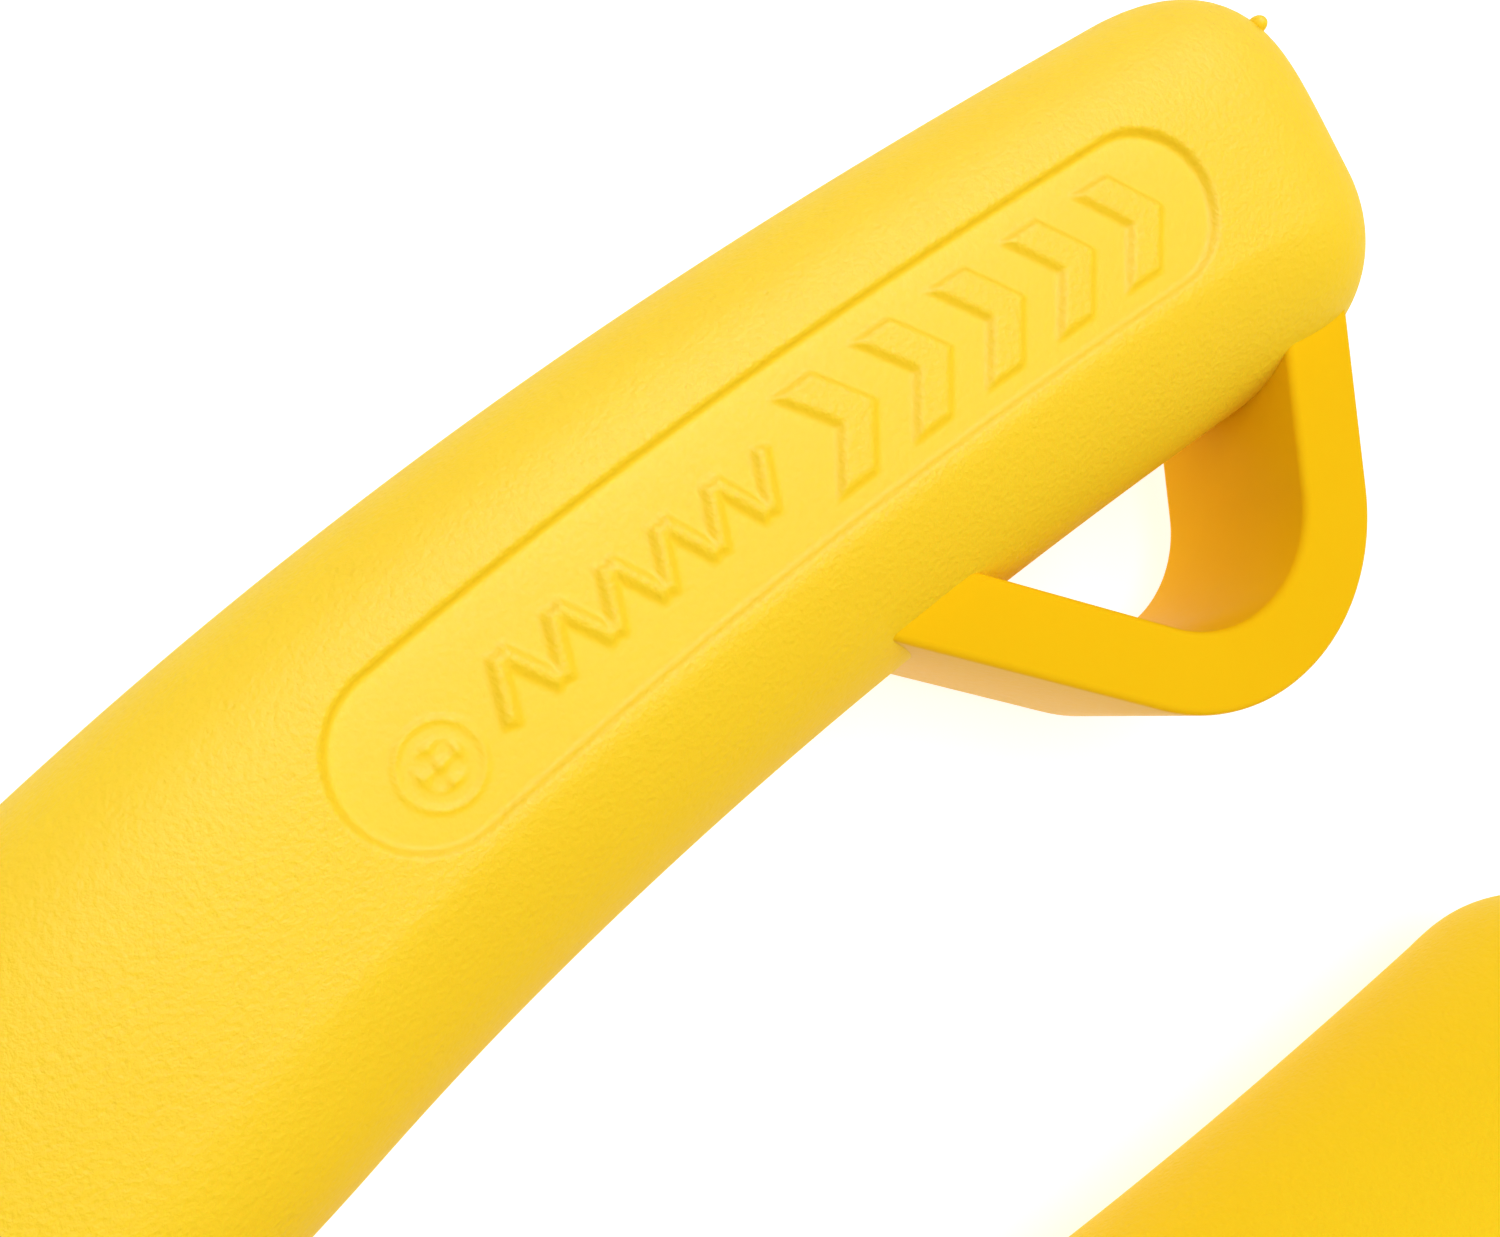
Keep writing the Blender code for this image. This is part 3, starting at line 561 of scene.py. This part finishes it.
def panel_masks(u, offset):
    """The panel's floor and its raised marks as two masks from 0 to 1.

    The floor starts where the distance inside the stadium passes the wall's width, and the
    marks rise inside their outlines; both edges are eased by a smooth step.
    """
    v = offset - PANEL_OFFSET
    nearest = np.clip(u, PANEL_FIRST_U, PANEL_LAST_U)
    inside = PANEL_HALF_WIDTH - np.hypot(u - nearest, v)
    floor = smooth_step(inside / PANEL_WALL)
    marks = np.minimum(np.minimum(button_mark(u, v), zigzag_mark(u, v)), chevron_mark(u, v))
    return floor, smooth_step(-marks / MARK_EDGE)


def spring_pocket(x, y, z, side):
    """Draws the inner flank back to the flat seat inside the spring's pocket.

    The share that it is drawn back by is a smooth step of the depth inside the pocket's circle.
    """
    rim_width = 0.5
    r = np.hypot(x - PIVOT.x / MM - SPRING_FROM_PIVOT, z)
    inside = smooth_step((SPRING_POCKET_RADIUS - r) / rim_width)
    reach = side * y
    facing = (reach < SPRING_SEAT_Y) & (reach > 0.0)
    return np.where(facing, side * (reach + (SPRING_SEAT_Y - reach) * inside), y)


def handle_piece(name, side, props, mat):
    """The moulded handle: bowed, blunt at its free end, with its panel and spring pocket.

    The panel's floor leans a little: its depth grows evenly from its inner to its outer side.
    """
    u = handle_stations(side)
    share, outer, top = section_samples()
    offset, height = handle_section(u, share, outer, top, side)
    along = np.broadcast_to(u[:, None], offset.shape)
    on_panel_side = top[None, :]
    floor, marks = panel_masks(along, offset)
    floor, marks = floor * on_panel_side, marks * on_panel_side
    lean = 1.0 + PANEL_LEAN * np.clip((offset - PANEL_OFFSET) / PANEL_HALF_WIDTH, -1.0, 1.0)
    height = height - floor * (props.panel_recess * lean - props.mark_relief * marks)
    grain = 1.0 + floor * (FLOOR_GRAIN - 1.0 + marks * (MARK_GRAIN - FLOOR_GRAIN))
    x, y = beside(along, offset, side)
    y = spring_pocket(x, y, height, side)
    rings = np.stack([x, y, height + PIVOT.z / MM], axis=-1)
    inset = np.linspace(0.15, 0.92, 6)[:, None, None]
    front_x, front_y = beside(FRONT_U, 0.0, side)
    front_pole = np.array([[front_x, front_y, PIVOT.z / MM]])
    face = front_pole[None] + (rings[0][None] - front_pole[None]) * inset
    end_x, end_y = beside(FREE_END_U[side], -0.4, side)
    rings = np.concatenate([face, rings])
    obj = skin(name, rings, front_pole, np.array([[end_x, end_y, PIVOT.z / MM]]), mat)
    grain = np.concatenate([np.ones(face.shape[:2]), grain]).ravel()
    attribute = obj.data.attributes.new("grain", "FLOAT", "POINT")
    attribute.data.foreach_set("value", np.concatenate([grain, np.ones(2)]).astype(np.float32))
    return obj


# ---------------------------------------------------------------- eyelet

def eyelet_path(radius):
    """A circular bend with a straight arm at each end, as u, v and the outward normal's angle."""
    bend_steps, arm_steps = 49, 15
    bend = np.linspace(EYELET_FRONT_ARM + math.pi / 2, EYELET_END_ARM + 1.5 * math.pi, bend_steps)
    u = EYELET_U + radius * np.cos(bend)
    v = EYELET_OFFSET + radius * np.sin(bend)
    arms = []
    for k, arm in ((0, EYELET_FRONT_ARM), (-1, EYELET_END_ARM)):
        run = (EYELET_ROOT - v[k]) / math.sin(arm) * np.linspace(0.0, 1.0, arm_steps)[1:]
        normal = np.full(len(run), bend[k])
        arms.append((u[k] + run * math.cos(arm), v[k] + run * math.sin(arm), normal))
    first, last = arms
    return (np.concatenate([first[0][::-1], u, last[0]]), np.concatenate([first[1][::-1], v, last[1]]),
            np.concatenate([first[2][::-1], bend, last[2]]))


def rounded_rectangle(half_a, half_b, radius, steps=6):
    """Points round a rectangle with rounded corners: a quarter circle at each corner in turn."""
    quarters = np.arange(4) * math.pi / 2
    corner = np.concatenate([np.linspace(q, q + math.pi / 2, steps) for q in quarters])
    sign_a = np.repeat([1, -1, -1, 1], steps)
    sign_b = np.repeat([1, 1, -1, -1], steps)
    return (sign_a * (half_a - radius) + radius * np.cos(corner),
            sign_b * (half_b - radius) + radius * np.sin(corner))


def eyelet_piece(name, side, props, mat):
    """The eyelet's band: a rectangle with eased edges carried round the corner and both arms."""
    u, v, normal = eyelet_path(EYELET_BORE_RADIUS + EYELET_BAND / 2)
    out, up = rounded_rectangle(EYELET_BAND / 2, EYELET_DEPTH / 2, props.edge_radius)
    x, y = to_tool(u[:, None] + out[None, :] * np.cos(normal)[:, None],
                   v[:, None] + out[None, :] * np.sin(normal)[:, None], side)
    z = np.broadcast_to(up[None, :] + PIVOT.z / MM, x.shape)
    rings = np.stack([x, y, z], axis=-1)
    return skin(name, rings, rings[0].mean(0)[None], rings[-1].mean(0)[None], mat)


def gate_nub(name, u, offset, height, radius, side, mat):
    """What is left of the moulding gate: a small half-sunk dome, a ball stretched upwards."""
    stretch = 1.3
    x, y = beside(u, offset, side)
    latitude = np.linspace(-math.pi / 2, math.pi / 2, 14)[1:-1, None]
    turn = np.linspace(0.0, 2 * math.pi, 25)[None, :-1]
    ball = np.stack(np.broadcast_arrays(
        np.cos(latitude) * np.cos(turn), np.cos(latitude) * np.sin(turn),
        stretch * np.sin(latitude)), axis=-1) * radius
    centre = np.array([x, y, height])
    poles = centre + np.array([[0.0, 0.0, -stretch], [0.0, 0.0, stretch]]) * radius
    return skin(name, centre + ball, poles[:1], poles[1:], mat)


# ---------------------------------------------------------------- spring

def spring_piece(mat):
    """The coil: a circle carried along a helix whose end turns lie almost flat.

    The climb per turn is the end pitch in the first and last turn and the open pitch between,
    and the circle stands square to the helix.
    """
    turns = np.linspace(0.0, SPRING_TURNS, int(SPRING_TURNS * SPRING_STEPS_PER_TURN) + 1)
    length = 2 * (SPRING_SEAT_Y - SPRING_SINK) - SPRING_WIRE
    known = (0.0, 1.0, SPRING_TURNS - 1.0, SPRING_TURNS)
    climb = np.interp(turns, known, (0.0, SPRING_END_PITCH, length - SPRING_END_PITCH, length))
    angle = 2 * math.pi * turns
    radial = np.stack([np.cos(angle), np.zeros_like(angle), np.sin(angle)], axis=-1)
    centre = radial * SPRING_MEAN_RADIUS
    centre[:, 1] = climb - length / 2
    tangent = np.gradient(centre, axis=0)
    tangent /= np.linalg.norm(tangent, axis=1)[:, None]
    across = np.cross(tangent, radial)
    across /= np.linalg.norm(across, axis=1)[:, None]
    b = np.linspace(0.0, 2 * math.pi, WIRE_SIDES + 1)[None, :-1, None]
    wire = np.cos(b) * radial[:, None, :] + np.sin(b) * across[:, None, :]
    base = np.array([PIVOT.x / MM + SPRING_FROM_PIVOT, 0.0, PIVOT.z / MM])
    rings = base + centre[:, None, :] + wire * (SPRING_WIRE / 2)
    return skin("return_spring_coil", rings, (base + centre[0])[None], (base + centre[-1])[None], mat)


# ---------------------------------------------------------------- steel pieces

def eased_copy(node, name, mat, radius_mm):
    """A CAD node's shape with its flats made whole again and its edges eased by a small radius."""
    sharp = math.radians(35.0)
    mesh = FRAME["nodes"][node].data.copy()
    bm = bmesh.new()
    bm.from_mesh(mesh)
    bmesh.ops.remove_doubles(bm, verts=bm.verts, dist=1e-6)
    bmesh.ops.dissolve_limit(bm, angle_limit=math.radians(0.6), verts=bm.verts, edges=bm.edges)
    bm.to_mesh(mesh)
    bm.free()
    mesh.materials.clear()
    mesh.materials.append(mat)
    mesh.shade_smooth()
    mesh.set_sharp_from_angle(angle=sharp)
    obj = bpy.data.objects.new(name, mesh)
    bpy.context.scene.collection.objects.link(obj)
    bevel = obj.modifiers.new("eased_edges", "BEVEL")
    bevel.width = radius_mm * MM
    bevel.segments = 3
    bevel.limit_method = "ANGLE"
    bevel.angle_limit = sharp
    bevel.harden_normals = True
    return obj


# ---------------------------------------------------------------- stage

def area_light(name, place, aim, size, power):
    """A square softbox; place, aim and size in metres, power in watts."""
    light = bpy.data.lights.new(name, "AREA")
    light.shape = "SQUARE"
    light.size = size
    light.energy = power
    obj = bpy.data.objects.new(name, light)
    obj.location = place
    obj.rotation_euler = (aim - place).to_track_quat("-Z", "Y").to_euler()
    bpy.context.scene.collection.objects.link(obj)
    return obj


def sheen_light(name, place, aim, size, power, pieces):
    """A softbox seen only as gloss, and only on the given pieces."""
    light = area_light(name, place, aim, size, power)
    light.visible_diffuse = False
    receivers = bpy.data.collections.new(name + "_pieces")
    for piece in pieces:
        receivers.objects.link(piece)
    light.light_linking.receiver_collection = receivers


def pale_surround(strength):
    """An even white surround that lights weakly and looks pale where it is seen directly."""
    seen_level = 0.85
    world = bpy.data.worlds.new("surround")
    world.use_nodes = True
    tree = world.node_tree
    seen = add_node(tree, "ShaderNodeLightPath").outputs["Is Camera Ray"]
    level = add_node(tree, "ShaderNodeMapRange", i0=seen, i3=strength, i4=seen_level)
    background = tree.nodes["Background"]
    background.inputs["Color"].default_value = (1.0, 1.0, 1.0, 1.0)
    tree.links.new(level.outputs[0], background.inputs["Strength"])
    return world


def handle_point(u, v, over_panel):
    """A point given in the eyelet handle's own axes, over its panel's floor, in metres."""
    x, y = to_tool(u, v, 1.0)
    panel_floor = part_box("handle_with_eyelet")[1].z / MM - CAD_PANEL_DEPTH
    return Vector((x, y, panel_floor + over_panel)) * MM


def make_camera(props):
    """Close over the eyelet handle, looking down and along it towards its free end."""
    data = bpy.data.cameras.new("camera")
    data.sensor_width = 36.0
    data.lens = props.lens
    data.clip_start = 0.001
    camera = bpy.data.objects.new("camera", data)
    place = handle_point(*props.camera_place)
    aim = handle_point(*props.camera_aim)
    camera.location = place
    track = (aim - place).to_track_quat("-Z", "Y").to_matrix()
    roll = Matrix.Rotation(math.radians(props.camera_roll), 3, "Z")
    camera.rotation_euler = (track @ roll).to_euler()
    bpy.context.scene.collection.objects.link(camera)
    bpy.context.scene.camera = camera


# ---------------------------------------------------------------- settings

class SnipsPlasticSettings(bpy.types.PropertyGroup):
    """Sizes and colours of the moulded handles."""
    plastic_light: StringProperty(
        name="Light yellow", description="sRGB hex of the grained plastic", default="F4CE1C")
    plastic_dark: StringProperty(
        name="Deep yellow", description="sRGB hex of the grained plastic's patches", default="F4C818")
    # The smooth yellows are darker than the grained ones: painted shade for the eyelet, which lies in
    # the handle's shade.
    smooth_light: StringProperty(
        name="Smooth yellow", description="sRGB hex of the smooth plastic", default="EEBC0F")
    smooth_dark: StringProperty(
        name="Smooth deep yellow", description="sRGB hex of the smooth plastic's patches",
        default="EBB60C")
    grain_mm: FloatProperty(
        name="Grain", description="Width of the moulded grain, in millimetres",
        default=0.16, min=0.05, max=2.0)
    panel_recess: FloatProperty(
        name="Panel depth", description="Depth of the panel at its middle, in millimetres",
        default=0.32, min=0.0, max=1.0)
    mark_relief: FloatProperty(
        name="Mark height", description="Height of the marks on the panel, in millimetres",
        default=0.21, min=0.0, max=1.0)
    edge_radius: FloatProperty(
        name="Eyelet edge", description="Radius on the eyelet's edges, in millimetres",
        default=0.3, min=0.05, max=1.0)


class SnipsSteelSettings(bpy.types.PropertyGroup):
    """How far the edges of the metal and acetal pieces are eased."""
    blade_edge: FloatProperty(
        name="Blade edges", description="Radius on the blades' edges, in millimetres",
        default=0.08, min=0.01, max=0.5)
    screw_edge: FloatProperty(
        name="Screw edges", description="Radius on screw, nut, flat washer and pins, in millimetres",
        default=0.12, min=0.01, max=0.5)
    coned_edge: FloatProperty(
        name="Coned washer edges", description="Radius on the coned washer's edges, in millimetres",
        default=0.05, min=0.01, max=0.5)
    acetal_edge: FloatProperty(
        name="Acetal washer edges", description="Radius on the acetal washer's edges, in millimetres",
        default=0.08, min=0.01, max=0.5)


class SnipsStageSettings(bpy.types.PropertyGroup):
    """Floor, light and camera."""
    floor_colour: FloatVectorProperty(
        name="Floor", description="Colour of the opal floor, linear", subtype="COLOR",
        default=(0.55, 0.55, 0.55), min=0.0, max=1.0)
    floor_glow: FloatProperty(
        name="Floor glow", description="Radiance of the backlit floor", default=0.7, min=0.0)
    key_power: FloatProperty(
        name="Key light", description="Power of the softbox above the handle, in watts",
        default=2.3, min=0.0)
    fill_power: FloatProperty(
        name="Fill light", description="Power of the softbox on the other handle's side, in watts",
        default=0.7, min=0.0)
    gloss_power: FloatProperty(
        name="Handle sheen", description="Power of the softbox seen only in one handle, in watts",
        default=14.0, min=0.0)
    steel_power: FloatProperty(
        name="Steel sheen", description="Power of the softbox seen only in the steel, in watts",
        default=1.2, min=0.0)
    sky: FloatProperty(
        name="Surround", description="Strength of the even white surround", default=0.35, min=0.0)
    lens: FloatProperty(
        name="Lens", description="Focal length, in millimetres", default=38.4, min=10.0)
    camera_place: FloatVectorProperty(
        name="Camera place", description="Millimetres from the panel's middle, in the handle's axes",
        default=(-20.48, 6.25, 46.55))
    camera_aim: FloatVectorProperty(
        name="Camera aim", description="Millimetres from the panel's middle, in the handle's axes",
        default=(-4.03, -2.15, 0.0))
    camera_roll: FloatProperty(
        name="Roll", description="Turn of the picture, in degrees", default=80.81)


# ---------------------------------------------------------------- operators

def shared(make, *args):
    """A material by its maker's name, made once."""
    return bpy.data.materials.get(make.__name__) or make(*args)


class SNIPS_OT_handles(bpy.types.Operator):
    """Build the two moulded handles"""
    bl_idname = "snips.handles"
    bl_label = "Handles"

    def execute(self, context):
        props = context.scene.snips_plastic
        mat = shared(grained_polypropylene, props)
        fitted(handle_piece(EYELET_HANDLE, 1, props, mat), FIXED, "handle", "handle_with_eyelet")
        fitted(handle_piece(PLAIN_HANDLE, -1, props, mat), CLOSING, "handle", "handle_plain")
        fitted(gate_nub(EYELET_HANDLE_GATE, 26.5, 4.75, 11.75, 0.34, 1, mat), FIXED, "handle")
        fitted(gate_nub(PLAIN_HANDLE_GATE, 24.55, 4.75, 11.3, 0.34, -1, mat), CLOSING, "handle")
        return {"FINISHED"}


class SNIPS_OT_eyelet(bpy.types.Operator):
    """Build the hanging eyelet under the end of one handle"""
    bl_idname = "snips.eyelet"
    bl_label = "Eyelet"

    def execute(self, context):
        props = context.scene.snips_plastic
        # The eyelet's plastic is a darker copy of the handle's: its deeper yellow is painted shade.
        mat = shared(smooth_polypropylene, props)
        fitted(eyelet_piece("eyelet_band", 1, props, mat), FIXED, "handle")
        return {"FINISHED"}


class SNIPS_OT_blades(bpy.types.Operator):
    """Build the two blades with eased edges"""
    bl_idname = "snips.blades"
    bl_label = "Blades"

    def execute(self, context):
        props = context.scene.snips_steel
        mat = shared(ground_stainless)
        for node, body in (("blade_under", FIXED), ("blade_over", CLOSING)):
            fitted(eased_copy(node, node + "_ground", mat, props.blade_edge), body, "blade", node)
        return {"FINISHED"}


class SNIPS_OT_pivot(bpy.types.Operator):
    """Build the pivot's screw, nut, washers and pins"""
    bl_idname = "snips.pivot"
    bl_label = "Pivot"

    def execute(self, context):
        props = context.scene.snips_steel
        plated, wire, plastic = shared(nickel_plated_steel), shared(drawn_spring_wire), shared(acetal)
        fixed = ("pivot_screw", "pivot_nut", "pivot_washer", "stop_pin", "spring_pin_upper")
        pieces = [(node, "_plated", plated, props.screw_edge, FIXED, "pivot") for node in fixed]
        pieces += [("spring_pin_lower", "_plated", plated, props.screw_edge, CLOSING, "pivot"),
                   ("spring_washer", "_coned", wire, props.coned_edge, FIXED, "spring"),
                   ("friction_washer", "_turned", plastic, props.acetal_edge, FIXED, "friction")]
        for node, ending, mat, edge, body, slot in pieces:
            fitted(eased_copy(node, node + ending, mat, edge), body, slot, node)
        return {"FINISHED"}


class SNIPS_OT_spring(bpy.types.Operator):
    """Build the return spring between the two handles"""
    bl_idname = "snips.spring"
    bl_label = "Return spring"

    def execute(self, context):
        coil = spring_piece(shared(drawn_spring_wire))
        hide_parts("return_spring")
        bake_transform(coil)
        return {"FINISHED"}


class SNIPS_OT_stage(bpy.types.Operator):
    """Build the backlit floor, the soft light and the camera"""
    bl_idname = "snips.stage"
    bl_label = "Stage"

    def execute(self, context):
        props = context.scene.snips_stage
        corners = np.array([(-1.0, -1.0, 0.0), (1.0, -1.0, 0.0), (1.0, 1.0, 0.0), (-1.0, 1.0, 0.0)])
        floor = surface("floor", corners * FLOOR_HALF - np.array([0.0, 0.0, FLOOR_GAP]), [(0, 1, 2, 3)],
                        opal_acrylic(props.floor_colour, props.floor_glow))
        middle = handle_point(0.0, 0.0, 0.0)
        key = area_light("key", middle + KEY_PLACE, middle, 0.42, props.key_power)
        fill = area_light("fill", middle + FILL_PLACE, middle, 0.4, props.fill_power)
        key.visible_glossy = fill.visible_glossy = False
        handle = [bpy.data.objects[name] for name in (EYELET_HANDLE, EYELET_HANDLE_GATE)]
        sheen_light("handle_sheen", middle + HANDLE_SHEEN_PLACE, middle, 0.42, props.gloss_power,
                    handle)
        metal = [piece for piece in bpy.data.objects if piece.name.endswith(STEEL_ENDINGS)]
        sheen_light("steel_sheen", PIVOT + STEEL_SHEEN_PLACE, PIVOT, 0.6, props.steel_power, metal)
        context.scene.world = pale_surround(props.sky)
        context.scene.view_settings.view_transform = "Standard"
        make_camera(props)
        return {"FINISHED"}


OPERATORS = (SNIPS_OT_handles, SNIPS_OT_eyelet, SNIPS_OT_blades, SNIPS_OT_pivot, SNIPS_OT_spring,
             SNIPS_OT_stage)
SETTINGS = (("snips_plastic", SnipsPlasticSettings), ("snips_steel", SnipsSteelSettings),
            ("snips_stage", SnipsStageSettings))


class SNIPS_PT_panel(bpy.types.Panel):
    """Builders and settings of the snips"""
    bl_idname = "SNIPS_PT_panel"
    bl_label = "Thread snips"
    bl_space_type = "VIEW_3D"
    bl_region_type = "UI"
    bl_category = "Snips"

    def draw(self, context):
        for operator in OPERATORS:
            self.layout.operator(operator.bl_idname)
        for holder, group in SETTINGS:
            for key in group.__annotations__:
                self.layout.prop(getattr(context.scene, holder), key)


def register():
    for holder, group in SETTINGS:
        bpy.utils.register_class(group)
        setattr(bpy.types.Scene, holder, PointerProperty(type=group))
    for cls in OPERATORS + (SNIPS_PT_panel,):
        bpy.utils.register_class(cls)


def unregister():
    for cls in reversed(OPERATORS + (SNIPS_PT_panel,)):
        bpy.utils.unregister_class(cls)
    for holder, group in reversed(SETTINGS):
        delattr(bpy.types.Scene, holder)
        bpy.utils.unregister_class(group)


def main():
    register()
    for operator in OPERATORS:
        group, name = operator.bl_idname.split(".")
        getattr(getattr(bpy.ops, group), name)()


if __name__ == "__main__":
    main()
